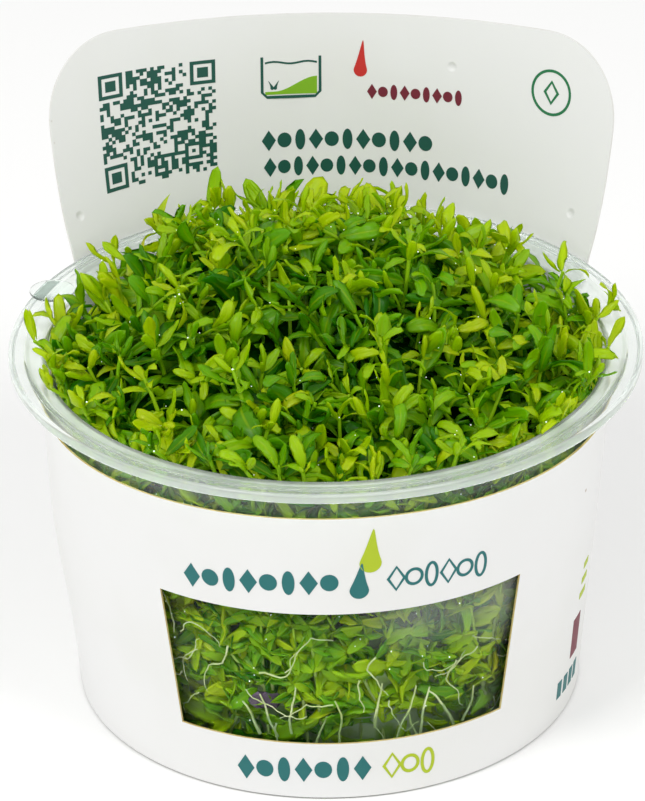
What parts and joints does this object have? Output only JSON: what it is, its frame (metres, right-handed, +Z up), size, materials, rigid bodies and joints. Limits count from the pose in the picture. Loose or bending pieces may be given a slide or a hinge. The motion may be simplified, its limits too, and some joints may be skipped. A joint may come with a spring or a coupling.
{
  "type": "tissue culture pearlweed in its cup",
  "caption": "Clear flanged culture cup in a white card sleeve with a window and a tall back panel, filled with gel and a dome of small-leaved green aquarium plants.",
  "frame": {"origin": "middle of the cup's flat base", "axes": "+Z up out of the cup; -Y towards the sleeve's window; +Y towards the back panel"},
  "size_m": [0.098, 0.1043, 0.0894],
  "materials": {
    "cup_plastic": "clear, slightly milky moulded plastic",
    "card": "smooth coated white card with printed marks",
    "gel": "clear set nutrient gel",
    "leaf": "smooth, slightly waxy, wet green leaves"
  },
  "bodies": {
    "root": {"cup": "cup_plastic", "sleeve": "card", "gel": "gel", "shoot_clump_01": "leaf", "shoot_clump_02": "leaf", "shoot_clump_03": "leaf", "shoot_clump_04": "leaf", "shoot_clump_05": "leaf", "shoot_clump_06": "leaf", "shoot_clump_07": "leaf", "shoot_clump_08": "leaf", "shoot_clump_09": "leaf", "shoot_clump_10": "leaf", "shoot_clump_11": "leaf", "shoot_clump_12": "leaf", "shoot_clump_13": "leaf", "shoot_clump_14": "leaf", "shoot_clump_15": "leaf", "shoot_clump_16": "leaf", "shoot_clump_17": "leaf", "shoot_clump_18": "leaf", "shoot_clump_19": "leaf", "shoot_clump_20": "leaf", "shoot_clump_21": "leaf", "shoot_clump_22": "leaf", "shoot_clump_23": "leaf", "shoot_clump_24": "leaf", "shoot_clump_25": "leaf", "shoot_clump_26": "leaf", "shoot_clump_27": "leaf", "shoot_clump_28": "leaf", "shoot_clump_29": "leaf", "shoot_clump_30": "leaf", "shoot_clump_31": "leaf"}
  },
  "joints": []
}
